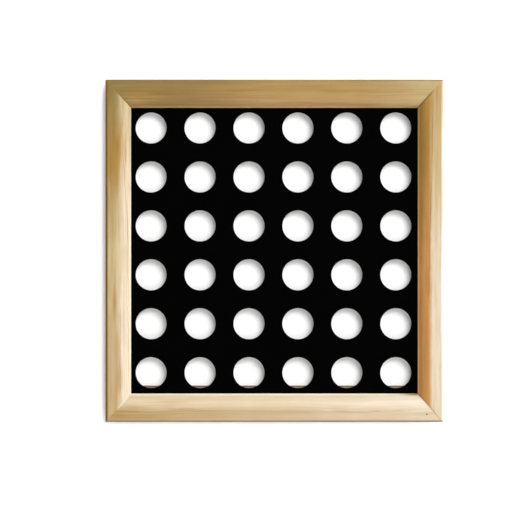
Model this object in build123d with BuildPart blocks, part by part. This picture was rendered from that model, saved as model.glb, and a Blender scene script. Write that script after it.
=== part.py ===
from build123d import *

import math
import os

os.makedirs("parts", exist_ok=True)

# Four in a row frame: a wall-hung game built like a box picture frame.
# Millimetres. +X is right, +Z is up, -Y faces the player. y = 0 is the rear face of the wood, and
# the origin lies midway between the entry holes of the two keyhole hangers.

# ---- overall ----
FRAME_W = 300.0
FRAME_H = 304.0
FRAME_D = 22.0
HANGER_HEIGHT = 250.0  # keyhole entries above the bottom edge
BOTTOM = -HANGER_HEIGHT
TOP = BOTTOM + FRAME_H
CENTRE_Z = (TOP + BOTTOM) / 2
HALF_W = FRAME_W / 2
HALF_H = FRAME_H / 2

# ---- moulding: the rails carry the stiles' profile, stretched so that the mitres meet ----
STILE_W = 22.25
RAIL_W = 24.7
FLAT_END = 9.4  # the flat front face ends here, from the outer edge
FALL_END = 20.8  # the falling curve ends here, and the bead starts
FALL = 6.2
QUIRK = 0.35  # small step down from the curve to the bead
BEAD_FLAT = 0.4
EDGE_R = 1.9
REBATE_SHARE = 0.25  # share of a member's width that the rebate takes

# ---- layers, from the rear to the lip ----
BACK_REAR = -0.2
BACK_T = 3.0
LINER_T = 1.0
CHAMBER_T = 5.6
PANEL_T = 3.0
LINER_REAR = BACK_REAR - BACK_T
CHAMBER_REAR = LINER_REAR - LINER_T
CHAMBER_FRONT = CHAMBER_REAR - CHAMBER_T
LIP_REAR = CHAMBER_FRONT - PANEL_T
CHAMBER_Y = (CHAMBER_FRONT + CHAMBER_REAR) / 2
SHEET_GAP = 0.4  # sheets stand clear of the rebate by this much on each side

# ---- rebate walls ----
REBATE_X = HALF_W - STILE_W * (1 - REBATE_SHARE)
REBATE_TOP = TOP - RAIL_W * (1 - REBATE_SHARE)
REBATE_BOTTOM = BOTTOM + RAIL_W * (1 - REBATE_SHARE)

# ---- grid of six columns by six rows ----
COUNT = 6
PITCH = 43.7
HOLE_R = 13.9
HOLE_EASE = 0.25
GRID_X = -0.8
GRID_Z = CENTRE_Z + 0.4
COLUMN_W = 41.4
COLUMN_X = [GRID_X + PITCH * (i - (COUNT - 1) / 2) for i in range(COUNT)]
SLOT_EASE = 0.7  # chamfer round each slot's outer mouth

# ---- release bar: the ledge that the lowest counters stand on ----
BAR_TOP = CENTRE_Z - 120.9
BAR_T = 5.0
BAR_GAP = 0.3
BAR_BOTTOM = REBATE_BOTTOM + BAR_GAP
BAR_EASE = 0.5
GRIP_GROOVES = 3
GRIP_PITCH = 2.0
GRIP_R = 0.5
NOTCH_W = 16.0  # the finger notch reaches half of this in from the outer side
NOTCH_ABOVE = 15.4  # room for a finger above and below the bar's end
NOTCH_BELOW = 9.0
NOTCH_DEPTH = 13.6

# ---- keyhole hangers ----
PLATE_T = 1.2
PLATE_W = 14.0
PLATE_LOW = -17.0
PLATE_HIGH = 21.0
PLATE_CORNER = 2.0
PLATE_X = (HALF_W + REBATE_X) / 2
ENTRY_R = 4.5
NECK_R = 2.1
NECK_RISE = 9.0
POCKET_R = 5.3
POCKET_DEPTH = 7.5
PLATE_SCREW_Z = (-12.5, 16.5)

# ---- screws ----
SCREW_R = 1.4
SCREW_LEN = 11.0
SCREW_POINT = 2.5
CSK_R = 2.4
CROSS_LEN = 2.6
CROSS_W = 0.6
CROSS_DEPTH = 0.7

# ---- turn buttons that hold the back board ----
BUTTON_T = 1.2
BUTTON_W = 9.0
BUTTON_LEN = 24.0
BUTTON_LIFT = 0.1
BUTTON_HOLE_R = 1.45
BUTTON_EASE = 0.3
BUTTON_X = HALF_W - 10.0
BUTTON_Z = (-40.0, -115.0, -190.0)
PAN_R = 2.8
PAN_T = 1.2
PAN_EASE = 0.6

# ---- corner fastenings ----
NAIL_T = 0.6
NAIL_LEG = 3.6
NAIL_DEPTH = 5.0
NAIL_SUNK = 0.3
NAIL_SHARES = (0.36, 0.74)  # places along the mitre, from the rebate's corner to the outer corner
PIN_R = 0.7
PIN_LEN = 15.0
PIN_SUNK = 0.9
PIN_X = 135.2
PIN_Z = BOTTOM + 7.0

# ---- wall bumpers ----
BUMPER_R = 5.0
BUMPER_T = 3.0
BUMPER_EASE = 0.8
BUMPER_X = 128.0
BUMPER_IN = 9.0  # a bumper's centre from the top or bottom edge

CORNERS = [(side_x, side_z) for side_x in (-1, 1) for side_z in (-1, 1)]


def facing(y, x=0.0, z=0.0):
    """Upright plane at this depth: local x is +X, local y is +Z, and extrude goes to the front."""
    return Plane(origin=(x, y, z), x_dir=(1, 0, 0), z_dir=(0, -1, 0))


def finish(build, name):
    build.part.label = name
    export_step(build.part, "parts/" + name + ".step")


# ---------------------------------------------------------------- wooden frame

def moulding_outline(width):
    """Section of a member: x from the outer edge inwards, y from the rear face to the front."""
    stretch = width / STILE_W
    flat_end = FLAT_END * stretch
    fall_end = FALL_END * stretch
    rebate = width * (1 - REBATE_SHARE)
    run = fall_end - flat_end
    fall_r = (run * run + FALL * FALL) / (2 * FALL)
    half_turn = math.asin(run / fall_r) / 2
    fall_mid_x = flat_end + fall_r * math.sin(half_turn)
    fall_mid_y = FRAME_D - fall_r * (1 - math.cos(half_turn))
    bead_r = width - fall_end - BEAD_FLAT
    bead_top = FRAME_D - FALL - QUIRK
    in_arc = 1 - math.sqrt(0.5)
    Line((0, 0), (0, FRAME_D - EDGE_R))
    ThreePointArc((0, FRAME_D - EDGE_R), (EDGE_R * in_arc, FRAME_D - EDGE_R * in_arc), (EDGE_R, FRAME_D))
    Line((EDGE_R, FRAME_D), (flat_end, FRAME_D))
    ThreePointArc((flat_end, FRAME_D), (fall_mid_x, fall_mid_y), (fall_end, FRAME_D - FALL))
    Polyline((fall_end, FRAME_D - FALL), (fall_end, bead_top), (width - bead_r, bead_top))
    bead_mid = (width - bead_r * in_arc, bead_top - bead_r * in_arc)
    ThreePointArc((width - bead_r, bead_top), bead_mid, (width, bead_top - bead_r))
    Polyline((width, bead_top - bead_r), (width, -LIP_REAR), (rebate, -LIP_REAR), (rebate, 0), (0, 0))


def add_member(side_x, side_z):
    """One mitred member: a stile where side_x is 1 or -1, a rail where side_z is."""
    width = STILE_W if side_x else RAIL_W
    half_length = HALF_H if side_x else HALF_W
    outer = (side_x * HALF_W, 0, CENTRE_Z + side_z * HALF_H)
    across = Plane(origin=outer, x_dir=(-side_x, 0, -side_z), z_dir=(-side_z, 0, side_x))
    with BuildSketch(across) as section:
        with BuildLine():
            moulding_outline(width)
        make_face()
    extrude(section.sketch, amount=half_length, both=True)
    inner_x = HALF_W - STILE_W
    inner_z = HALF_H - RAIL_W
    if side_x:
        ends = [(HALF_W, HALF_H), (inner_x, inner_z), (inner_x, -inner_z), (HALF_W, -HALF_H)]
        mitred = [(side_x * x, z) for x, z in ends]
    else:
        ends = [(HALF_W, HALF_H), (inner_x, inner_z), (-inner_x, inner_z), (-HALF_W, HALF_H)]
        mitred = [(x, side_z * z) for x, z in ends]
    with BuildSketch(facing(0, z=CENTRE_Z)) as front_view:
        with BuildLine():
            Polyline(*mitred, close=True)
        make_face()
    extrude(front_view.sketch, amount=FRAME_D, mode=Mode.INTERSECT)


def nail_outline(side_x, side_z, share):
    """A V of bent strip on the mitre, with one leg along the stile and one along the rail."""
    near_z = REBATE_TOP if side_z > 0 else REBATE_BOTTOM
    far_z = TOP if side_z > 0 else BOTTOM
    x = side_x * (REBATE_X + (HALF_W - REBATE_X) * share)
    z = near_z + (far_z - near_z) * share
    leg_x, leg_z = x - side_x * NAIL_LEG, z - side_z * NAIL_LEG
    in_x, in_z = x - side_x * NAIL_T, z - side_z * NAIL_T
    Polyline((x, z), (leg_x, z), (leg_x, in_z), (in_x, in_z), (in_x, leg_z), (x, leg_z), close=True)


def sketch_nails(corners, y):
    """Outlines of the corner nails at these corners, on the plane at this depth."""
    with BuildSketch(facing(y)) as nails:
        for side_x, side_z in corners:
            for share in NAIL_SHARES:
                with BuildLine():
                    nail_outline(side_x, side_z, share)
                make_face()
    return nails.sketch


def cut_nail_pockets(corners):
    extrude(sketch_nails(corners, 0), amount=NAIL_SUNK + NAIL_DEPTH, mode=Mode.SUBTRACT)


def cut_slots(side_z):
    """Six counter slots from the rail's outer edge to the chamber, eased at their outer mouths."""
    edge_z = CENTRE_Z + side_z * HALF_H
    edge = Plane(origin=(0, CHAMBER_Y, edge_z), x_dir=(1, 0, 0), z_dir=(0, 0, -side_z))
    with BuildSketch(edge) as slots:
        with Locations([(x, 0) for x in COLUMN_X]):
            Rectangle(COLUMN_W, CHAMBER_T)
    extrude(slots.sketch, amount=RAIL_W, mode=Mode.SUBTRACT)
    mouth = edges().filter_by_position(Axis.Z, edge_z - 0.01, edge_z + 0.01)
    mouth = mouth.filter_by_position(Axis.X, -REBATE_X, REBATE_X)
    chamfer(mouth.filter_by_position(Axis.Y, CHAMBER_FRONT - 0.01, CHAMBER_REAR + 0.01), SLOT_EASE)


with BuildPart() as top_rail:
    add_member(0, 1)
    cut_slots(1)
    cut_nail_pockets([(-1, 1), (1, 1)])
finish(top_rail, "top_rail")

with BuildPart() as bottom_rail:
    add_member(0, -1)
    cut_slots(-1)
    cut_nail_pockets([(-1, -1), (1, -1)])
    with Locations(facing(-FRAME_D, PIN_X, PIN_Z)):
        Cylinder(PIN_R, 2 * (PIN_SUNK + PIN_LEN), mode=Mode.SUBTRACT)
finish(bottom_rail, "bottom_rail")


def cut_stile_hardware(side_x):
    """Recess, head pocket and pilot holes for the hanger plate, and pilot holes for the turn buttons."""
    plate_mid = (PLATE_LOW + PLATE_HIGH) / 2
    with BuildSketch(facing(0, side_x * PLATE_X, plate_mid)) as recess:
        RectangleRounded(PLATE_W, PLATE_HIGH - PLATE_LOW, PLATE_CORNER)
    extrude(recess.sketch, amount=PLATE_T, mode=Mode.SUBTRACT)
    with BuildSketch(facing(0, side_x * PLATE_X, NECK_RISE / 2)) as pocket:
        SlotOverall(NECK_RISE + 2 * POCKET_R, 2 * POCKET_R, rotation=90)
    extrude(pocket.sketch, amount=POCKET_DEPTH, mode=Mode.SUBTRACT)
    with BuildSketch(facing(0)) as pilots:
        with Locations([(side_x * PLATE_X, z) for z in PLATE_SCREW_Z]):
            Circle(SCREW_R)
        with Locations([(side_x * BUTTON_X, z) for z in BUTTON_Z]):
            Circle(SCREW_R)
    extrude(pilots.sketch, amount=SCREW_LEN, mode=Mode.SUBTRACT)


with BuildPart() as left_stile:
    add_member(-1, 0)
    cut_stile_hardware(-1)
    cut_nail_pockets([(-1, -1), (-1, 1)])
finish(left_stile, "left_stile")

with BuildPart() as right_stile:
    add_member(1, 0)
    cut_stile_hardware(1)
    cut_nail_pockets([(1, -1), (1, 1)])
    # passage for the release bar, from the chamber to the outer side
    passage_h = BAR_TOP + BAR_GAP - REBATE_BOTTOM
    with BuildSketch(Plane.YZ.offset(REBATE_X - STILE_W)):
        with Locations((CHAMBER_Y, REBATE_BOTTOM + passage_h / 2)):
            Rectangle(CHAMBER_T, passage_h)
    extrude(amount=2 * STILE_W, mode=Mode.SUBTRACT)
    # finger notch round the bar's end, open to the rear and the side
    notch_top = BAR_TOP + NOTCH_ABOVE
    notch_bottom = BAR_BOTTOM - NOTCH_BELOW
    with BuildSketch(facing(0, HALF_W, (notch_top + notch_bottom) / 2)):
        SlotOverall(notch_top - notch_bottom, NOTCH_W, rotation=90)
    extrude(amount=NOTCH_DEPTH, mode=Mode.SUBTRACT)
finish(right_stile, "right_stile")

with BuildPart() as corner_v_nails:
    extrude(sketch_nails(CORNERS, -NAIL_SUNK), amount=NAIL_DEPTH)
finish(corner_v_nails, "corner_v_nails")

with BuildPart() as corner_pin:
    with BuildSketch(facing(-FRAME_D + PIN_SUNK + PIN_LEN, PIN_X, PIN_Z)):
        Circle(PIN_R)
    extrude(amount=PIN_LEN)
finish(corner_pin, "corner_pin")

# ---------------------------------------------------------------- panel, columns and back

SHEET_W = 2 * (REBATE_X - SHEET_GAP)
SHEET_H = REBATE_TOP - REBATE_BOTTOM - 2 * SHEET_GAP

with BuildPart() as front_panel:
    with BuildSketch(facing(CHAMBER_FRONT, z=CENTRE_Z)):
        Rectangle(SHEET_W, SHEET_H)
    extrude(amount=PANEL_T)
    with BuildSketch(facing(CHAMBER_FRONT, GRID_X, GRID_Z)):
        with GridLocations(PITCH, PITCH, COUNT, COUNT):
            Circle(HOLE_R)
    extrude(amount=PANEL_T, mode=Mode.SUBTRACT)
    chamfer(front_panel.faces().sort_by(Axis.Y)[0].inner_wires().edges(), HOLE_EASE)
finish(front_panel, "front_panel")


def make_strip(name, low_x, high_x):
    """Upright wooden strip in the chamber, from just above the release bar to the top rail."""
    low_z = BAR_TOP + BAR_GAP
    middle = ((low_x + high_x) / 2, (low_z + REBATE_TOP) / 2)
    with BuildPart() as strip:
        with BuildSketch(facing(CHAMBER_REAR, middle[0], middle[1])):
            Rectangle(high_x - low_x, REBATE_TOP - low_z)
        extrude(amount=CHAMBER_T)
    finish(strip, name)


for number, (left_column, right_column) in enumerate(zip(COLUMN_X, COLUMN_X[1:]), start=1):
    make_strip(f"column_divider_{number}", left_column + COLUMN_W / 2, right_column - COLUMN_W / 2)
make_strip("side_strip_left", -REBATE_X, COLUMN_X[0] - COLUMN_W / 2)
make_strip("side_strip_right", COLUMN_X[-1] + COLUMN_W / 2, REBATE_X)

with BuildPart() as white_liner:
    with BuildSketch(facing(LINER_REAR, z=CENTRE_Z)):
        Rectangle(SHEET_W, SHEET_H)
    extrude(amount=LINER_T)
finish(white_liner, "white_liner")

with BuildPart() as back_board:
    with BuildSketch(facing(BACK_REAR, z=CENTRE_Z)):
        Rectangle(SHEET_W, SHEET_H)
    extrude(amount=BACK_T)
finish(back_board, "back_board")

# ---------------------------------------------------------------- release bar

with BuildPart() as release_bar:
    bar_left = -REBATE_X + BAR_GAP
    bar_mid_z = (BAR_TOP + BAR_BOTTOM) / 2
    with BuildSketch(Plane.YZ.offset(bar_left)):
        with Locations((CHAMBER_Y, bar_mid_z)):
            Rectangle(BAR_T, BAR_TOP - BAR_BOTTOM)
    extrude(amount=HALF_W - bar_left)
    chamfer(faces().filter_by(Axis.X).edges(), BAR_EASE)
    # grip grooves across the top and bottom edges, inside the notch
    groove_x = [HALF_W - GRIP_PITCH * (i + 1) for i in range(GRIP_GROOVES)]
    with BuildSketch(facing(CHAMBER_Y)):
        with Locations([(x, z) for x in groove_x for z in (BAR_TOP, BAR_BOTTOM)]):
            Circle(GRIP_R)
    extrude(amount=BAR_T, both=True, mode=Mode.SUBTRACT)
finish(release_bar, "release_bar")

# ---------------------------------------------------------------- hangers


def make_hanger(side_x, name):
    """Keyhole plate: round entry, neck above it and two countersunk screw holes."""
    with BuildPart() as plate:
        with BuildSketch(facing(0, side_x * PLATE_X, (PLATE_LOW + PLATE_HIGH) / 2)):
            RectangleRounded(PLATE_W, PLATE_HIGH - PLATE_LOW, PLATE_CORNER)
        extrude(amount=PLATE_T)
        with BuildSketch(facing(0, side_x * PLATE_X)):
            Circle(ENTRY_R)
            with Locations((0, NECK_RISE / 2)):
                SlotCenterToCenter(NECK_RISE, 2 * NECK_R, rotation=90)
        extrude(amount=PLATE_T, mode=Mode.SUBTRACT)
        rear = Plane(origin=(side_x * PLATE_X, 0, 0), x_dir=(-1, 0, 0), z_dir=(0, 1, 0))
        with Locations(rear):
            with Locations([(0, z) for z in PLATE_SCREW_Z]):
                CounterSinkHole(SCREW_R, CSK_R, depth=PLATE_T, counter_sink_angle=90)
    finish(plate, name)


make_hanger(-1, "keyhole_plate_left")
make_hanger(1, "keyhole_plate_right")


def screw_outline(head):
    """Half section of a screw: x is the radius and y the height. The head ends at the shank."""
    shank = [(SCREW_R, SCREW_POINT - SCREW_LEN), (0, -SCREW_LEN)]
    Polyline((0, head[0][1]), *head, *shank, close=True)


def add_screws(places, head):
    """Cross-head screws whose heads face the wall, at these (x, z) places."""
    top = head[0][1]
    for x, z in places:
        with BuildSketch(Plane(origin=(x, 0, z), x_dir=(1, 0, 0), z_dir=(0, 0, 1))) as half:
            with BuildLine():
                screw_outline(head)
            make_face()
        revolve(half.sketch, axis=Axis((x, 0, z), (0, 1, 0)))
    with BuildSketch(facing(top)) as cross:
        with Locations(places):
            Rectangle(CROSS_LEN, CROSS_W)
            Rectangle(CROSS_W, CROSS_LEN)
    extrude(cross.sketch, amount=CROSS_DEPTH, mode=Mode.SUBTRACT)


CSK_HEAD = [(CSK_R, 0), (SCREW_R, SCREW_R - CSK_R)]
PAN_LOW = BUTTON_LIFT + BUTTON_T + BUTTON_LIFT
PAN_HIGH = PAN_LOW + PAN_T
PAN_HEAD = [(PAN_R - PAN_EASE, PAN_HIGH), (PAN_R, PAN_HIGH - PAN_EASE), (PAN_R, PAN_LOW), (SCREW_R, PAN_LOW)]

with BuildPart() as keyhole_screws:
    add_screws([(side_x * PLATE_X, z) for side_x in (-1, 1) for z in PLATE_SCREW_Z], CSK_HEAD)
finish(keyhole_screws, "keyhole_screws")

# ---------------------------------------------------------------- turn buttons and bumpers

BUTTON_PLACES = [(side_x * BUTTON_X, z) for side_x in (-1, 1) for z in BUTTON_Z]

for number, (button_x, button_z) in enumerate(BUTTON_PLACES, start=1):
    inward = -math.copysign(1, button_x)
    reach = (BUTTON_LEN - BUTTON_W) / 2
    with BuildPart() as turn_button:
        with BuildSketch(facing(BUTTON_LIFT + BUTTON_T, button_x, button_z)):
            with Locations((inward * reach, 0)):
                SlotOverall(BUTTON_LEN, BUTTON_W)
        extrude(amount=BUTTON_T)
        fillet(faces().sort_by(Axis.Y)[-1].edges(), BUTTON_EASE)
        with BuildSketch(facing(BUTTON_LIFT + BUTTON_T, button_x, button_z)):
            Circle(BUTTON_HOLE_R)
        extrude(amount=BUTTON_T, mode=Mode.SUBTRACT)
    finish(turn_button, f"turn_button_{number}")

with BuildPart() as turn_button_screws:
    add_screws(BUTTON_PLACES, PAN_HEAD)
finish(turn_button_screws, "turn_button_screws")

with BuildPart() as wall_bumpers:
    with BuildSketch(facing(BUMPER_T)):
        bumper_z = (TOP - BUMPER_IN, BOTTOM + BUMPER_IN)
        with Locations([(side_x * BUMPER_X, z) for side_x in (-1, 1) for z in bumper_z]):
            Circle(BUMPER_R)
    extrude(amount=BUMPER_T)
    fillet(faces().group_by(Axis.Y)[-1].edges(), BUMPER_EASE)
finish(wall_bumpers, "wall_bumpers")
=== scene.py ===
"""Looks for the four in a row frame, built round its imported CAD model.

Metres, in the CAD model's own frame: +X right, +Z up, -Y towards the player, y = 0 the rear of the wood.
"""
import math

import bpy
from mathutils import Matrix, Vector


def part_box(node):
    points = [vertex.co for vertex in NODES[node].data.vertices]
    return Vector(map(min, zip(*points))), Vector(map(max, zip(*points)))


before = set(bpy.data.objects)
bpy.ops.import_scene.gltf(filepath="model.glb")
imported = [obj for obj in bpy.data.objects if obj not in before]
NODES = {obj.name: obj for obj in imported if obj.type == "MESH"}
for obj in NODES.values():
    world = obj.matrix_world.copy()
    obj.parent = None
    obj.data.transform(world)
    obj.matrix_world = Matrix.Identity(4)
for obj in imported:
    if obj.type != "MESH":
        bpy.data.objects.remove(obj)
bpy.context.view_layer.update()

# ---------------------------------------------------------------- places read from the frame
MM = 0.001
LEFT_LOW, LEFT_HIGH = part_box("left_stile")
RIGHT_LOW, RIGHT_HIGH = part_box("right_stile")
TOP_LOW, TOP_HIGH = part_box("top_rail")
BOTTOM_LOW, BOTTOM_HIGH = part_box("bottom_rail")
OUTER_X = RIGHT_HIGH.x
OUTER_TOP = TOP_HIGH.z
OUTER_BOTTOM = BOTTOM_LOW.z
FRONT_Y = LEFT_LOW.y
CENTRE_Z = (OUTER_TOP + OUTER_BOTTOM) / 2
HEIGHT = OUTER_TOP - OUTER_BOTTOM
STILE_W = LEFT_HIGH.x - LEFT_LOW.x
RAIL_W = TOP_HIGH.z - TOP_LOW.z
WALL_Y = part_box("wall_bumpers")[1].y
MIDDLE = Vector((0, FRONT_Y, CENTRE_Z))


# ---------------------------------------------------------------- material kit
RED_POWER = 0.75  # wood takes up less red light than green
BLUE_POWER = 1.7  # and more blue


class Nodes:
    """A short way to write a node tree."""

    def __init__(self, name):
        self.material = bpy.data.materials.new(name)
        self.material.use_nodes = True
        self.tree = self.material.node_tree
        self.tree.nodes.clear()
        self.point = self.add("ShaderNodeTexCoord").outputs["Object"]

    def add(self, kind, inputs=(), **settings):
        node = self.tree.nodes.new(kind)
        for key, value in settings.items():
            setattr(node, key, value)
        for key, value in dict(inputs).items():
            self.feed(node, key, value)
        return node

    def feed(self, node, key, value):
        socket = node.inputs[key]
        if isinstance(value, bpy.types.NodeSocket):
            self.tree.links.new(value, socket)
        else:
            socket.default_value = value

    def math(self, operation, a, b=0.0):
        return self.add("ShaderNodeMath", {0: a, 1: b}, operation=operation).outputs[0]

    def axis(self, name):
        return self.add("ShaderNodeSeparateXYZ", {"Vector": self.point}).outputs[name]

    def scaled(self, scale, offset=(0, 0, 0), point=None):
        """Object coordinates in metres, stretched and then moved by offset."""
        inputs = {"Vector": point or self.point, "Location": offset, "Scale": scale}
        return self.add("ShaderNodeMapping", inputs).outputs[0]

    def noise(self, vector, detail=3.0, roughness=0.5, distortion=0.0):
        inputs = {"Vector": vector, "Scale": 1.0, "Detail": detail, "Roughness": roughness}
        inputs["Distortion"] = distortion
        return self.add("ShaderNodeTexNoise", inputs).outputs["Fac"]

    def ramp(self, value, low, high, out_low=0.0, out_high=1.0):
        inputs = {"Value": value, "From Min": low, "From Max": high}
        inputs.update({"To Min": out_low, "To Max": out_high})
        return self.add("ShaderNodeMapRange", inputs, interpolation_type="SMOOTHSTEP").outputs[0]

    def mix(self, factor, a, b, blend="MIX"):
        node = self.add("ShaderNodeMix", data_type="RGBA", blend_type=blend)
        self.feed(node, "Factor", factor)
        self.feed(node, 6, a)
        self.feed(node, 7, b)
        return node.outputs[2]

    def gradient(self, value, colours):
        """Colours spaced evenly along a value that runs from 0 to 1."""
        node = self.add("ShaderNodeValToRGB", {"Fac": value})
        stops = node.color_ramp.elements
        while len(stops) < len(colours):
            stops.new(0.5)
        for index, colour in enumerate(colours):
            stops[index].position = index / (len(colours) - 1)
            stops[index].color = colour
        return node.outputs[0]

    def brightness(self, colour, factor):
        """A colour times a number."""
        grey = self.add("ShaderNodeCombineColor", {0: factor, 1: factor, 2: factor})
        return self.mix(1.0, colour, grey.outputs[0], "MULTIPLY")

    def toned(self, colour, depth):
        """A colour seen through more or less resin: below 1 it darkens and warms, above 1 it pales."""
        inputs = {0: self.math("POWER", depth, RED_POWER), 1: depth, 2: self.math("POWER", depth, BLUE_POWER)}
        return self.mix(1.0, colour, self.add("ShaderNodeCombineColor", inputs).outputs[0], "MULTIPLY")

    def bump(self, height, distance, strength=1.0):
        inputs = {"Height": height, "Distance": distance, "Strength": strength}
        return self.add("ShaderNodeBump", inputs).outputs[0]

    def surface(self, **inputs):
        """Principled shader, its sockets named with underscores."""
        shader = self.add("ShaderNodeBsdfPrincipled")
        for key, value in inputs.items():
            self.feed(shader, key.replace("_", " "), value)
        output = self.add("ShaderNodeOutputMaterial")
        self.tree.links.new(shader.outputs[0], output.inputs[0])
        return self.material


def srgb(red, green, blue):
    """Linear colour from 0-255 display values."""
    def linear(value):
        value /= 255
        return value / 12.92 if value <= 0.04045 else ((value + 0.055) / 1.055) ** 2.4

    return (linear(red), linear(green), linear(blue), 1.0)


def dress(material, *names):
    """Give these CAD nodes this material."""
    for name in names:
        slots = NODES[name].data.materials
        slots.clear()
        slots.append(material)


# ---------------------------------------------------------------- wood
def grain_scale(along, length_scale, cross_scale, depth_scale=None):
    """Stretch for a texture whose streaks run along X or Z."""
    depth_scale = cross_scale if depth_scale is None else depth_scale
    if along == "X":
        return (length_scale, depth_scale, cross_scale)
    return (cross_scale, depth_scale, length_scale)


WANDER = 6 * MM  # how far the streaks stray to either side, in all


def grain(t, along, seed):
    """Textures of straight-grained pine, shared by every wooden part. Each runs from 0 to 1."""
    offset = (seed * 3.7, seed * 1.1, seed * 2.3)
    warp = t.noise(t.scaled(grain_scale(along, 9, 40), offset), detail=2.0)
    shift = t.math("MULTIPLY", t.math("SUBTRACT", warp, 0.5), WANDER)
    shifts = t.add("ShaderNodeCombineXYZ", {0: shift, 1: shift, 2: shift}).outputs[0]
    point = t.add("ShaderNodeVectorMath", {0: t.point, 1: shifts}, operation="ADD").outputs[0]
    return {
        "warp": warp,
        "jitter": t.noise(t.scaled(grain_scale(along, 90, 60), offset), 2.0),
        "rings": t.noise(t.scaled(grain_scale(along, 6, 260, 70), offset, point), 2.5, 0.55),
        "fibres": t.noise(t.scaled(grain_scale(along, 34, 1500), offset, point), 3.0, 0.6),
        "mottle": t.noise(t.scaled(grain_scale(along, 30, 95), offset, point), 3.0, 0.55),
        "stains": t.noise(t.scaled(grain_scale(along, 13, 110), offset, point), 4.0, 0.6),
        "lines": t.noise(t.scaled(grain_scale(along, 14, 520), offset, point), 3.0, 0.65),
        "hairs": t.noise(t.scaled(grain_scale(along, 11, 480, 200), offset, point), 1.0),
    }


# how much each texture lightens and darkens a board: (low, high, share of its tone)
SHADES = {"mottle": (0.25, 0.75, 0.06), "fibres": (0.2, 0.8, 0.05), "rings": (0.3, 0.7, -0.06),
          "lines": (0.3, 0.7, 0.085)}
# how much each texture stains it brown: (low, high, strength)
STREAKS = {"stains": (0.54, 0.74, 0.30), "hairs": (0.61, 0.71, 0.30)}


def grained(t, colour, wood, brown, contrast=1.0):
    """Lay the grain over a board's own tone."""
    depth = 1.0
    for texture, (low, high, share) in SHADES.items():
        reach = share * contrast
        depth = t.math("ADD", depth, t.ramp(wood[texture], low, high, -reach, reach))
    colour = t.toned(colour, depth)
    for texture, (low, high, strength) in STREAKS.items():
        mask = t.math("MULTIPLY", t.ramp(wood[texture], low, high), strength * contrast)
        colour = t.mix(mask, colour, brown)
    return colour


FIBRE_HEIGHT = 0.1 * MM
ROUGHNESS_SPREAD = 0.05
SATIN = 0.45  # roughness of varnished wood
PLANED = 0.62  # roughness of bare wood
HANDLED = 0.6  # roughness of bare wood that is often touched


def smoothed(t, colour, wood, roughness):
    """Wood whose fibres can still be felt, varnished or planed."""
    rough = t.ramp(wood["fibres"], 0.2, 0.8, roughness - ROUGHNESS_SPREAD, roughness + ROUGHNESS_SPREAD)
    height = t.math("ADD", t.math("MULTIPLY", wood["fibres"], 0.6), t.math("MULTIPLY", wood["rings"], 0.4))
    return t.surface(Base_Color=colour, Roughness=rough, Normal=t.bump(height, FIBRE_HEIGHT, 0.45),
                     Specular_IOR_Level=0.35)


def window(t, value, low, high, fade):
    """1 between low and high, fading out over the given length inside each end."""
    return t.math("MULTIPLY", t.ramp(value, low, low + fade), t.ramp(value, high - fade, high, 1.0, 0.0))


def vein(t, run, depth, start, end, width, strength):
    """Mask of a dark growth line from start to end, each (share of the length, mm from the outer edge)."""
    slope = (end[1] - start[1]) / (end[0] - start[0])
    line = t.math("ADD", t.math("MULTIPLY", run, slope), start[1] - slope * start[0])
    off = t.math("ABSOLUTE", t.math("SUBTRACT", depth, line))
    mask = t.math("MULTIPLY", t.ramp(off, 0.0, width, 1.0, 0.0), window(t, run, start[0], end[0], 0.05))
    return t.math("MULTIPLY", mask, strength)


def smudge(t, run, depth, wood, place, size, strength):
    """Mask of a soft stain: place and size are (share of the length, mm)."""
    du = t.math("DIVIDE", t.math("SUBTRACT", run, place[0]), size[0])
    dv = t.math("DIVIDE", t.math("SUBTRACT", depth, place[1]), size[1])
    square = t.math("ADD", t.math("MULTIPLY", du, du), t.math("MULTIPLY", dv, dv))
    ragged = t.math("ADD", t.math("SQRT", square), t.ramp(wood["lines"], 0.3, 0.7, 0.45, -0.45))
    return t.ramp(ragged, 0.1, 1.2, strength, 0.0)


def tone(red, green, blue):
    """Linear colour."""
    return (red, green, blue, 1.0)


# tones of the boards, from the dark edges and the olive and brown heartwood to the cream sapwood; on the
# front, the dark edge tones are painted shade, the chalky edge tones a painted highlight, and the pale tones
# of slopes and lips partly painted glare
# dark brown of glue lines, and painted shade on the left stile's outer edge
SEAM_AND_SHADE_BROWN = tone(0.112, 0.055, 0.003)
# dark brown of stains, and painted shade on the left stile's rim
STAIN_AND_SHADE_BROWN = tone(0.200, 0.105, 0.008)
# painted shade on the bottom rail's lower outer edge
UNDERSIDE_SHADE = tone(0.150, 0.100, 0.052)
# dark brown of a glue line, and painted shade on the top rail's outer edge
UMBER = tone(0.150, 0.085, 0.022)
OLIVE = tone(0.158, 0.108, 0.021)
MOSS = tone(0.190, 0.107, 0.026)
OCHRE = tone(0.255, 0.155, 0.042)
HONEY = tone(0.295, 0.192, 0.070)
AMBER = tone(0.312, 0.188, 0.065)
TAN = tone(0.350, 0.250, 0.118)
HAY = tone(0.315, 0.245, 0.108)
STRAW = tone(0.365, 0.280, 0.138)
WHEAT = tone(0.400, 0.298, 0.175)
SAND = tone(0.375, 0.275, 0.158)
OAT = tone(0.425, 0.335, 0.226)
CREAM = tone(0.450, 0.365, 0.255)
PALE = tone(0.480, 0.405, 0.300)
BISCUIT = tone(0.520, 0.412, 0.272)
IVORY = tone(0.530, 0.445, 0.325)
PEARL = tone(0.550, 0.480, 0.375)
SHELL = tone(0.590, 0.515, 0.410)
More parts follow.
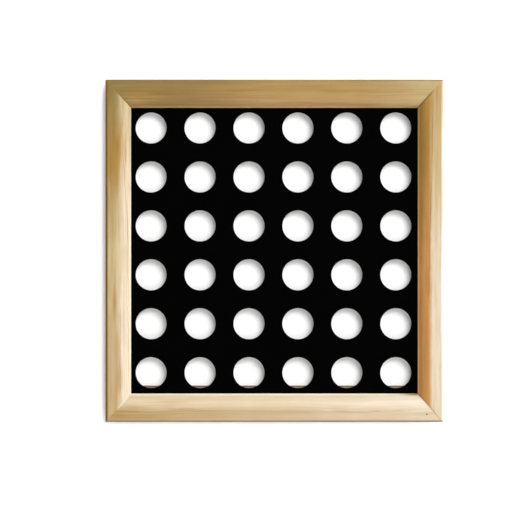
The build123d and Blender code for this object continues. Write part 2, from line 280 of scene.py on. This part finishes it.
# painted highlight on the right stile's rounded outer edge
EDGE_HIGHLIGHT = tone(0.520, 0.470, 0.390)
EDGE_HIGHLIGHT_PEAK = tone(0.580, 0.550, 0.490)
RUST = tone(0.430, 0.205, 0.054)
GOLD = tone(0.400, 0.300, 0.142)
RUSSET = tone(0.283, 0.150, 0.029)
BROWN = tone(0.210, 0.105, 0.020)
STAIN = tone(0.235, 0.120, 0.008)
BARE = tone(0.340, 0.250, 0.145)
# beech of the release bar, made darker in part as painted shade
BEECH_PALE = tone(0.300, 0.215, 0.125)
BEECH_DARK = tone(0.235, 0.160, 0.085)

JITTER = 2.4  # mm by which the growth lines shake
LIP_FADE = (2.6, 1.1)  # mm from the sight edge between which slope becomes lip
SEAM_WIDTH = (0.2, 1.4)  # mm from a mitre between which its glue line fades out
SEAM_FADE = 3.0  # mm either side of the place across the member where a glue line starts
RIM_SHADE_SHIFT = (0.5, 0.4)  # mm by which the rim tone, painted shade, lies further in than the edge tone
# the front's tones stop here, and an even one starts: depth from the front, and mm from the outer edge
PLAIN_BEHIND = (FRONT_Y + 9 * MM, FRONT_Y + 13 * MM)
PLAIN_BESIDE = (FRONT_Y + 0.8 * MM, FRONT_Y + 2.5 * MM)
OUTER_SIDE = (0.3, 0.9)


def board(name, along, outer, seed, flat, slope, lip, turn, edge, edge_shading_reach, rim_shade=(), contrast=1.0,
          waver=5.0, veins=(), smudges=(), mitres=(), stain=BROWN):
    """A mitred member of the moulding. Places along it are shares of its length, from the left or from below,
    and places across it are mm from its outer edge.

    along and seed are for its grain, and outer is the axis and the place of its outer edge. flat, slope, lip,
    edge and rim_shade are tones in their order along it, and besides the wood's own colour they hold painted
    light: the flat, slope and lip tones are partly painted glare and painted shade, edge is painted shade or
    a painted highlight on the rounded outer edge, and rim_shade is painted shade. turn is where flat becomes
    slope, and edge_shading_reach where the edge tone fades into flat, by way of rim_shade if there is one.
    veins are (start, end, width, strength), smudges (place, size, strength, tone), and mitres the glue lines
    at its two ends, each (tone, strength, where it starts). contrast is the strength of its grain, waver how
    far its growth lines wander, and stain the tone of its darker streaks.
    """
    t = Nodes("wood_" + name)
    wood = grain(t, along, seed)
    low, high = (-OUTER_X, OUTER_X) if along == "X" else (OUTER_BOTTOM, OUTER_TOP)
    width, neighbour = (RAIL_W, STILE_W) if along == "X" else (STILE_W, RAIL_W)
    place = t.axis(along)
    run = t.math("DIVIDE", t.math("SUBTRACT", place, low), high - low)
    depth = t.math("MULTIPLY", t.math("ABSOLUTE", t.math("SUBTRACT", t.axis(outer[0]), outer[1])), 1 / MM)
    behind = t.ramp(t.axis("Y"), *PLAIN_BEHIND)
    at_side = t.math("MULTIPLY", t.ramp(t.axis("Y"), *PLAIN_BESIDE), t.ramp(depth, *OUTER_SIDE, 1.0, 0.0))
    plain = t.math("MAXIMUM", behind, at_side)
    wander = t.math("MULTIPLY", t.math("SUBTRACT", wood["warp"], 0.5), waver)
    jitter = t.math("MULTIPLY", t.math("SUBTRACT", wood["jitter"], 0.5), JITTER)
    line = t.math("ADD", t.math("ADD", depth, wander), jitter)
    # flat, slope and lip tones: the wood's own colour, partly painted glare and painted shade, and lighter or
    # darker along the board partly as painted light
    flat_tone = t.gradient(run, flat)
    colour = t.mix(t.ramp(line, *turn), flat_tone, t.gradient(run, slope))
    to_lip = t.ramp(depth, width / MM - LIP_FADE[0], width / MM - LIP_FADE[1])
    colour = t.mix(to_lip, colour, t.gradient(run, lip))
    for spot, size, strength, colouring in smudges:
        colour = t.mix(smudge(t, run, depth, wood, spot, size, strength), colour, colouring)
    for start, end, thickness, strength in veins:
        colour = t.mix(vein(t, run, line, start, end, thickness, strength), colour, BROWN)
    for end, sign, (glue, strength, reach) in zip((low, high), (1, -1), mitres):
        inside = t.math("MULTIPLY", t.math("SUBTRACT", place, end), sign / MM)
        off = t.math("SUBTRACT", inside, t.math("MULTIPLY", depth, neighbour / width))
        fade = t.ramp(depth, reach - SEAM_FADE, reach + SEAM_FADE, 0.0, strength)
        colour = t.mix(t.math("MULTIPLY", t.ramp(off, *SEAM_WIDTH, 1.0, 0.0), fade), colour, glue)
    # painted shade on the rim, then painted shade or a painted highlight on the outer edge
    if rim_shade:
        to_rim_shade = t.ramp(depth, edge_shading_reach[0] + RIM_SHADE_SHIFT[0], edge_shading_reach[1] + RIM_SHADE_SHIFT[1])
        colour = t.mix(to_rim_shade, t.gradient(run, rim_shade), colour)
    colour = t.mix(t.ramp(depth, *edge_shading_reach), t.gradient(run, edge), colour)
    colour = t.mix(plain, colour, t.mix(0.6, flat_tone, BARE))
    dress(smoothed(t, grained(t, colour, wood, stain, contrast), wood, SATIN), name)


# top rail: tones paler towards the right partly as painted light, and edge tones painted shade on the rounded
# top edge
board("top_rail", "X", ("Z", OUTER_TOP), 1,
      flat=(OLIVE, MOSS, OCHRE, OCHRE, HAY), slope=(OLIVE, MOSS, AMBER, AMBER, GOLD),
      lip=(OCHRE, OCHRE, AMBER, AMBER, OCHRE), turn=(9, 18),
      edge=(UMBER, UMBER, OCHRE, MOSS, MOSS), edge_shading_reach=(0.4, 2.2),
      smudges=(((0.10, 14), (0.08, 5), 0.5, RUSSET), ((0.5, 13), (0.12, 5), 0.25, AMBER),
               ((0.27, 3.0), (0.17, 4.0), 0.6, OLIVE), ((0.09, 20.0), (0.05, 3.5), 0.6, AMBER)),
      mitres=((SEAM_AND_SHADE_BROWN, 0.6, 10), (SEAM_AND_SHADE_BROWN, 0.8, 10)))
# bottom rail: slope and lip tones partly a painted highlight on faces turned up to the light, tones paler
# towards the right partly as painted light, and edge tones painted shade on the underside
board("bottom_rail", "X", ("Z", OUTER_BOTTOM), 2,
      flat=(HONEY, TAN, SAND, OAT, CREAM), slope=(BISCUIT, BISCUIT, BISCUIT, IVORY, PEARL),
      lip=(SHELL, SHELL, SHELL, SHELL, CREAM), turn=(6, 21),
      edge=(UNDERSIDE_SHADE, UNDERSIDE_SHADE, UNDERSIDE_SHADE, UNDERSIDE_SHADE, UNDERSIDE_SHADE), edge_shading_reach=(1.0, 1.9), contrast=0.6, waver=3.5,
      veins=(((0.00, 10.2), (0.13, 9.6), 1.3, 0.6), ((0.01, 5.4), (0.09, 6.4), 1.0, 0.5),
             ((0.08, 9.4), (0.36, 9.4), 1.0, 0.35), ((0.17, 11.2), (0.30, 11.0), 0.8, 0.5),
             ((0.20, 9.2), (0.92, 9.6), 0.4, 0.35),
             ((0.66, 8.8), (0.84, 9.2), 0.9, 0.35), ((0.865, 24.2), (0.99, 24.2), 1.2, 1.0)),
      smudges=(((0.085, 13.2), (0.045, 4.0), 0.45, HONEY), ((0.03, 8.0), (0.03, 3.0), 0.3, STAIN),
               ((0.10, 5), (0.09, 2.5), 0.3, OCHRE)),
      mitres=((SHELL, 0.9, 13), (RUSSET, 0.7, 0)), stain=RUSSET)
# left stile: slope and lip tones partly a painted highlight on faces turned to the light, tones darker
# towards the top partly as painted shade, and edge and rim tones painted shade on the rounding turned from
# the light
board("left_stile", "Z", ("X", -OUTER_X), 3,
      flat=(TAN, TAN, STRAW, OCHRE, OLIVE), slope=(PALE, PALE, CREAM, CREAM, HAY),
      lip=(SHELL, SHELL, SHELL, PALE, HAY), turn=(7.5, 18),
      edge=(SEAM_AND_SHADE_BROWN, SEAM_AND_SHADE_BROWN, SEAM_AND_SHADE_BROWN, SEAM_AND_SHADE_BROWN, SEAM_AND_SHADE_BROWN), edge_shading_reach=(1.2, 2.5),
      rim_shade=(STAIN_AND_SHADE_BROWN, STAIN_AND_SHADE_BROWN, STAIN_AND_SHADE_BROWN, STAIN_AND_SHADE_BROWN, OLIVE), stain=STAIN,
      veins=(((0.50, 19.5), (0.92, 14.0), 0.5, 0.7), ((0.10, 20.5), (0.60, 19.5), 0.4, 0.4),
             ((0.62, 5.0), (0.86, 4.5), 0.8, 0.5), ((0.06, 12.5), (0.36, 14.0), 0.5, 0.4)),
      smudges=(((0.78, 11.0), (0.11, 9.5), 0.85, STAIN), ((0.81, 10.5), (0.035, 2.5), 0.6, STAIN_AND_SHADE_BROWN),
               ((0.74, 4.0), (0.05, 1.5), 0.5, STAIN_AND_SHADE_BROWN), ((0.35, 8.7), (0.05, 2.2), 0.5, STAIN),
               ((0.12, 12.0), (0.06, 3.2), 0.5, STAIN), ((0.22, 10.5), (0.05, 3.0), 0.35, STAIN),
               ((0.04, 9.7), (0.08, 1.6), 0.4, RUSSET)),
      mitres=((SHELL, 0.7, 13), (TAN, 0.0, 0)))
# right stile: pale flat tones partly painted glare, tones darker towards the top partly as painted shade, and
# edge tones a painted highlight on the rounding turned to the light
board("right_stile", "Z", ("X", OUTER_X), 4,
      flat=(CREAM, PALE, CREAM, TAN, HONEY), slope=(RUST, RUST, RUST, RUSSET, RUSSET),
      lip=(RUST, RUST, RUST, RUSSET, RUSSET), turn=(9.0, 13.5), edge=(EDGE_HIGHLIGHT, EDGE_HIGHLIGHT, EDGE_HIGHLIGHT_PEAK, EDGE_HIGHLIGHT, SAND),
      edge_shading_reach=(0.9, 2.5), stain=RUSSET,
      veins=(((0.34, 13.2), (0.72, 10.8), 0.7, 0.8), ((0.74, 9.9), (0.97, 9.4), 0.5, 0.8),
             ((0.36, 16.0), (0.64, 14.6), 0.6, 0.5)),
      smudges=(((0.2, 15), (0.15, 3), 0.4, RUSSET), ((0.42, 14), (0.05, 2), 0.5, RUSSET),
               ((0.55, 13), (0.09, 1.8), 0.4, RUSSET), ((0.95, 11.0), (0.06, 2.2), 0.8, RUSSET)),
      mitres=((UMBER, 0.75, 7), (SEAM_AND_SHADE_BROWN, 0.9, 9)))


def plain_board(name, along, seed, colours, contrast, *nodes):
    """Unvarnished working parts."""
    t = Nodes("wood_" + name)
    wood = grain(t, along, seed)
    colour = t.gradient(t.ramp(wood["rings"], 0.25, 0.75), colours)
    dress(smoothed(t, grained(t, colour, wood, BROWN, contrast), wood, PLANED), *nodes)


TOP_SHADE_BAND = (1.2 * MM, 0.5 * MM)  # below the bar's top edge, where its painted shade starts and where it is darkest
TOP_SHADE_TONE = 0.45


def release_bar():
    """Hardwood bar, its tones darkened in part as painted shade, and its top edge darkened further with
    painted shade.
    """
    t = Nodes("wood_release_bar")
    wood = grain(t, "X", 5)
    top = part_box("release_bar")[1].z
    colour = t.gradient(t.ramp(wood["rings"], 0.25, 0.75), (BEECH_PALE, BEECH_DARK))
    # painted shade along the bar's top edge
    top_shade = t.ramp(t.axis("Z"), top - TOP_SHADE_BAND[0], top - TOP_SHADE_BAND[1], 1.0, TOP_SHADE_TONE)
    bare = grained(t, t.brightness(colour, top_shade), wood, BROWN, 1.3)
    dress(smoothed(t, bare, wood, HANDLED), "release_bar")


release_bar()
STRIPS = [n for n in NODES if n.startswith("column_divider") or n.startswith("side_strip")]
plain_board("strips", "Z", 6, (CREAM, WHEAT), 1.3, *STRIPS)


# ---------------------------------------------------------------- sheets
def black_sheet():
    """Matt black rigid sheet with a faint orange-peel grain."""
    t = Nodes("black_sheet")
    peel = t.noise(t.scaled((900, 900, 900)), detail=3.0, roughness=0.6)
    cloud = t.noise(t.scaled((14, 14, 14)), detail=2.0)
    colour = t.mix(cloud, tone(0.0002, 0.0002, 0.0002), tone(0.0005, 0.0005, 0.0005))
    rough = t.ramp(cloud, 0.3, 0.7, 0.62, 0.72)
    return t.surface(Base_Color=colour, Roughness=rough, Normal=t.bump(peel, 0.04 * MM, 0.4),
                     Specular_IOR_Level=0.008)


def white_card():
    """White card: faint fibre mottle."""
    t = Nodes("white_card")
    fibre = t.noise(t.scaled((700, 700, 700)), detail=4.0, roughness=0.6)
    cloud = t.noise(t.scaled((25, 25, 25)), detail=2.0)
    colour = t.mix(cloud, tone(0.93, 0.93, 0.925), tone(0.96, 0.96, 0.96))
    rough = t.ramp(fibre, 0.3, 0.7, 0.75, 0.85)
    return t.surface(Base_Color=colour, Roughness=rough, Normal=t.bump(fibre, 0.03 * MM, 0.3),
                     Specular_IOR_Level=0.2)


def hardboard():
    """Brown hardboard, smooth side out: pressed fibres, darker specks and a few scuffs."""
    t = Nodes("hardboard")
    fibre = t.noise(t.scaled((950, 950, 950)), detail=4.0, roughness=0.65, distortion=0.4)
    flake = t.noise(t.scaled((260, 260, 700)), detail=3.0, roughness=0.6, distortion=0.8)
    cloud = t.noise(t.scaled((18, 18, 18)), detail=3.0)
    scuff = t.noise(t.scaled((30, 30, 160)), detail=4.0, roughness=0.65)
    colour = t.mix(t.ramp(fibre, 0.3, 0.7), srgb(112, 76, 45), srgb(134, 94, 58))
    colour = t.mix(t.math("MULTIPLY", t.ramp(flake, 0.58, 0.72), 0.4), colour, srgb(84, 54, 30))
    colour = t.mix(t.math("MULTIPLY", t.ramp(cloud, 0.35, 0.7), 0.3), colour, srgb(98, 65, 38))
    colour = t.mix(t.math("MULTIPLY", t.ramp(scuff, 0.62, 0.75), 0.2), colour, srgb(168, 130, 90))
    rough = t.ramp(fibre, 0.3, 0.7, 0.45, 0.65)
    return t.surface(Base_Color=colour, Roughness=rough, Normal=t.bump(fibre, 0.04 * MM, 0.4))


# ---------------------------------------------------------------- metal and rubber
def steel(name, pale, dark, roughness):
    """Zinc-plated steel: faint blotches, fine scratches and a few dull spots."""
    t = Nodes(name)
    blotch = t.noise(t.scaled((160, 160, 160)), detail=4.0, roughness=0.6)
    scratch = t.noise(t.scaled((2600, 2600, 180)), detail=2.0)
    spots = t.noise(t.scaled((700, 700, 700)), detail=3.0)
    colour = t.mix(t.ramp(blotch, 0.3, 0.7), dark, pale)
    colour = t.mix(t.math("MULTIPLY", t.ramp(spots, 0.66, 0.74), 0.5), colour, dark)
    rough = t.math("ADD", t.ramp(blotch, 0.3, 0.7, 0.08, -0.04), roughness)
    rough = t.math("ADD", rough, t.ramp(scratch, 0.35, 0.65, -0.05, 0.05))
    return t.surface(Base_Color=colour, Metallic=1.0, Roughness=rough, Normal=t.bump(scratch, 0.02 * MM, 0.4))


def rubber():
    """Dark rubber with a fine matt texture and a little dust."""
    t = Nodes("bumper_rubber")
    matt = t.noise(t.scaled((1500, 1500, 1500)), detail=4.0)
    dust = t.noise(t.scaled((260, 260, 260)), detail=3.0)
    colour = t.mix(t.ramp(dust, 0.4, 0.75), srgb(46, 44, 43), srgb(78, 75, 72))
    rough = t.ramp(matt, 0.3, 0.7, 0.7, 0.85)
    return t.surface(Base_Color=colour, Roughness=rough, Normal=t.bump(matt, 0.06 * MM, 0.5))


dress(black_sheet(), "front_panel")
dress(white_card(), "white_liner")
dress(hardboard(), "back_board")
BUTTONS = [n for n in NODES if n.startswith("turn_button_") and n[-1].isdigit()]
SCREWS = ("keyhole_screws", "turn_button_screws")
dress(steel("zinc_plate", srgb(214, 214, 208), srgb(176, 178, 176), 0.32),
      "keyhole_plate_left", "keyhole_plate_right", *BUTTONS)
dress(steel("screw_steel", srgb(196, 180, 140), srgb(140, 122, 84), 0.36), *SCREWS)
dress(steel("nail_steel", srgb(120, 114, 106), srgb(70, 62, 54), 0.5), "corner_v_nails")
dress(steel("pin_steel", srgb(58, 42, 26), srgb(34, 24, 14), 0.6), "corner_pin")
dress(rubber(), "wall_bumpers")

WELD_REACH = 0.001 * MM
CREASE = math.radians(30)


def weld(*names):
    """Join the facets and crease them again, which drops the triangle of no area at each screw's point."""
    for name in names:
        NODES[name].modifiers.new("welded", "WELD").merge_threshold = WELD_REACH
        NODES[name].modifiers.new("creased", "EDGE_SPLIT").split_angle = CREASE


weld(*SCREWS)


# ---------------------------------------------------------------- stage
# strength of the wall's painted light away from the object
WALL_GLOW = 0.31
PAINTED_SHADOW_EDGE = (3.4 * MM, 6.2 * MM)  # from the object to where its painted contact shadow starts to fade, and ends
PAINTED_SHADOW_NARROWING = 1.0 * MM  # by how much the painted shadow is narrower above and below


def backdrop(name, colour, glow=None, one_sided=False):
    """Matt paint; glow is a function that gives the strength of its own painted light, which lifts it to
    white.
    """
    t = Nodes(name)
    cloud = t.noise(t.scaled((3, 3, 3)), 2.0)
    base = t.mix(cloud, colour, tuple(c * 0.99 for c in colour[:3]) + (1,))
    surface = t.add("ShaderNodeBsdfDiffuse", {"Color": base}).outputs[0]
    if glow:
        light = t.add("ShaderNodeEmission", {"Strength": glow(t)}).outputs[0]
        surface = t.add("ShaderNodeAddShader", {0: surface, 1: light}).outputs[0]
    if one_sided:
        rear = t.add("ShaderNodeNewGeometry").outputs["Backfacing"]
        clear = t.add("ShaderNodeBsdfTransparent").outputs[0]
        surface = t.add("ShaderNodeMixShader", {0: rear, 1: surface, 2: clear}).outputs[0]
    output = t.add("ShaderNodeOutputMaterial")
    t.tree.links.new(surface, output.inputs[0])
    return t.material


def beside(t):
    """How far a point of the wall is from the object, to the left or the right."""
    return t.math("SUBTRACT", t.math("ABSOLUTE", t.axis("X")), OUTER_X)


def above(t):
    """How far it is above or below."""
    return t.math("SUBTRACT", t.math("ABSOLUTE", t.math("SUBTRACT", t.axis("Z"), CENTRE_Z)), HEIGHT / 2)


def glow_with_painted_shadow(t):
    """Even painted light that stops short of the object, leaving a painted contact shadow on the wall there.
    """
    away = t.math("MAXIMUM", beside(t), t.math("ADD", above(t), PAINTED_SHADOW_NARROWING))
    return t.ramp(away, *PAINTED_SHADOW_EDGE, 0.0, WALL_GLOW)


def sheet_mesh(name, corners, faces, material):
    """A flat piece of the stage, which is not part of the object."""
    mesh = bpy.data.meshes.new(name)
    mesh.from_pydata(corners, [], faces)
    mesh.materials.append(material)
    obj = bpy.data.objects.new(name, mesh)
    bpy.context.scene.collection.objects.link(obj)


WALL_REACH = 4.0
FLOOR_DROP = 0.9
HOLE_INSET = 3 * MM
WALL_WHITE = tone(0.91, 0.92, 0.94)
FLOOR_PALE = tone(0.80, 0.80, 0.79)


def wall():
    """White wall behind the bumpers, open behind the object so that its rear is lit too."""
    out_x, low_z, high_z = WALL_REACH, CENTRE_Z - FLOOR_DROP, CENTRE_Z + WALL_REACH
    in_x = OUTER_X - HOLE_INSET
    in_low, in_high = OUTER_BOTTOM + HOLE_INSET, OUTER_TOP - HOLE_INSET
    corners = []
    for side, low, high in ((out_x, low_z, high_z), (in_x, in_low, in_high)):
        corners += [(-side, WALL_Y, low), (side, WALL_Y, low), (side, WALL_Y, high), (-side, WALL_Y, high)]
    faces = [(0, 1, 5, 4), (1, 2, 6, 5), (2, 3, 7, 6), (3, 0, 4, 7)]
    sheet_mesh("stage_wall", corners, faces, backdrop("wall_white", WALL_WHITE, glow_with_painted_shadow, one_sided=True))


def floor():
    """Pale floor, far below the object."""
    z = CENTRE_Z - FLOOR_DROP
    corners = [(x * WALL_REACH, y * WALL_REACH, z) for x, y in ((-1, -1), (1, -1), (1, 1), (-1, 1))]
    sheet_mesh("stage_floor", corners, [(0, 1, 2, 3)], backdrop("floor_pale", FLOOR_PALE))


wall()
floor()


def area_light(name, direction, distance, width, height, power):
    """Soft box aimed at the middle of the frame's front."""
    data = bpy.data.lights.new(name, "AREA")
    data.shape = "ELLIPSE"
    data.size, data.size_y = width, height
    data.energy = power
    light = bpy.data.objects.new(name, data)
    away = Vector(direction).normalized()
    light.location = MIDDLE + away * distance
    light.rotation_euler = (-away).to_track_quat("-Z", "Y").to_euler()
    bpy.context.scene.collection.objects.link(light)


KEY_DISTANCE = 3.0
KEY_OFF_NORMAL = math.radians(37)
KEY_ROLL = math.radians(56)
KEY_RADIUS = math.radians(20)
KEY_POWER = 78.0
SIDE_OFF_NORMAL = math.radians(70)
SIDE_ROLL = math.radians(8)
SIDE_POWER = 22.0
REAR_FROM = (-0.25, 1.0, 0.35)
REAR_POWER = 42.0


def from_front(off_normal, roll):
    """Direction that leaves the front at an angle to its normal; roll 0 is to the right, 90 degrees is up."""
    side = math.sin(off_normal)
    return (side * math.cos(roll), -math.cos(off_normal), side * math.sin(roll))


KEY_SIZE = 2 * KEY_DISTANCE * math.tan(KEY_RADIUS)
area_light("key", from_front(KEY_OFF_NORMAL, KEY_ROLL), KEY_DISTANCE, KEY_SIZE, KEY_SIZE, KEY_POWER)
area_light("side", from_front(SIDE_OFF_NORMAL, SIDE_ROLL), 2.0, 0.9, 1.2, SIDE_POWER)
area_light("rear", REAR_FROM, 2.2, 1.4, 1.4, REAR_POWER)

SKY = 0.64
SKY_FROM = Vector((1.0, 0.0, 0.3)).normalized()
SKY_CONTRAST = 0.6


def studio_world():
    """White surroundings, brighter towards the right."""
    world = bpy.data.worlds.new("studio")
    world.use_nodes = True
    tree = world.node_tree
    place = tree.nodes.new("ShaderNodeTexCoord")
    lean = tree.nodes.new("ShaderNodeVectorMath")
    lean.operation = "DOT_PRODUCT"
    lean.inputs[1].default_value = SKY_FROM
    tree.links.new(place.outputs["Generated"], lean.inputs[0])
    level = tree.nodes.new("ShaderNodeMapRange")
    for index, value in enumerate((-1.0, 1.0, SKY * (1 - SKY_CONTRAST), SKY * (1 + SKY_CONTRAST)), 1):
        level.inputs[index].default_value = value
    tree.links.new(lean.outputs["Value"], level.inputs[0])
    background = tree.nodes["Background"]
    background.inputs["Color"].default_value = (1, 1, 1, 1)
    tree.links.new(level.outputs[0], background.inputs["Strength"])
    bpy.context.scene.world = world


studio_world()

# ---------------------------------------------------------------- camera
VIEW_DISTANCE = 1.5
VIEW_SPAN = 0.46994  # metres across the picture at the frame's front face
LOOK_RIGHT = 9.35 / 530  # how far the object stands right of the picture's middle, as a share of its width
LOOK_UP = 14.25 / 530  # how far it stands above the middle

camera_data = bpy.data.cameras.new("camera")
camera_data.sensor_width = 36.0
camera_data.lens = camera_data.sensor_width * VIEW_DISTANCE / VIEW_SPAN
camera_data.shift_x = -LOOK_RIGHT
camera_data.shift_y = -LOOK_UP
camera = bpy.data.objects.new("camera", camera_data)
camera.location = MIDDLE + Vector((0, -VIEW_DISTANCE, 0))
camera.rotation_euler = (math.pi / 2, 0, 0)
bpy.context.scene.collection.objects.link(camera)
bpy.context.scene.camera = camera

bpy.context.scene.view_settings.view_transform = "Standard"
